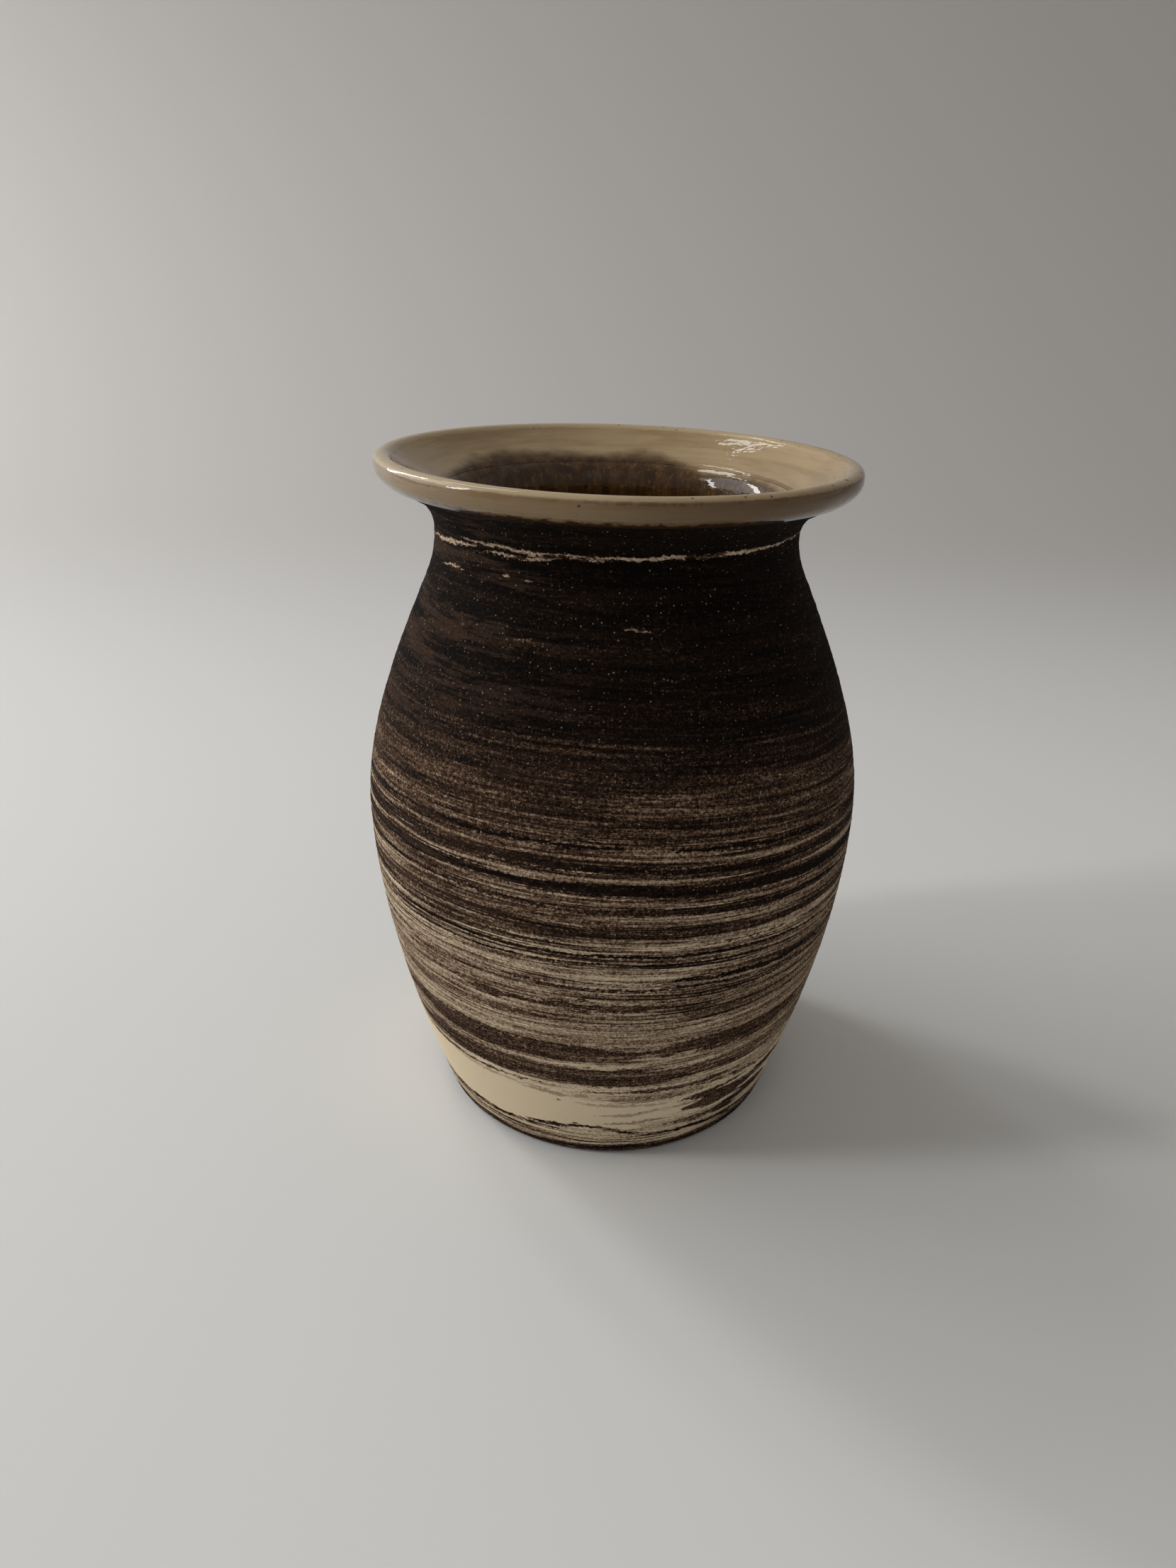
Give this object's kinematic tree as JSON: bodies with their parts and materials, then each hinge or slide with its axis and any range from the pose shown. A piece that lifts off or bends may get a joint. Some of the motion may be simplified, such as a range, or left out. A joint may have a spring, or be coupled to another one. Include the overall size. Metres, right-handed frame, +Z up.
{
  "type": "stoneware vase",
  "caption": "Barrel-shaped thrown stoneware vase in bare marbled clay, with a narrow waist, a flared collar and a thick glazed lip.",
  "frame": {"origin": "centre of the underside, on the surface the vase stands on", "axes": "+Z up along the vase's own axis; X and Y lie in the plane of the underside"},
  "size_m": [0.1676, 0.1676, 0.227],
  "materials": {
    "marbled_clay": "bare fired stoneware, dark brown and cream clays marbled in horizontal bands, matt and gritty",
    "amber_glaze": "glossy amber brown glaze with gold mottling",
    "cream_glaze": "glossy cream glaze with faint tan streaks"
  },
  "bodies": {
    "root": {"foot_slab": "marbled_clay", "lower_wall": "marbled_clay", "belly_wall": "marbled_clay", "upper_wall": "marbled_clay", "shoulder_wall": "marbled_clay", "neck_collar": "marbled_clay", "liner_glaze": "amber_glaze", "rim_glaze": "cream_glaze"}
  },
  "joints": []
}
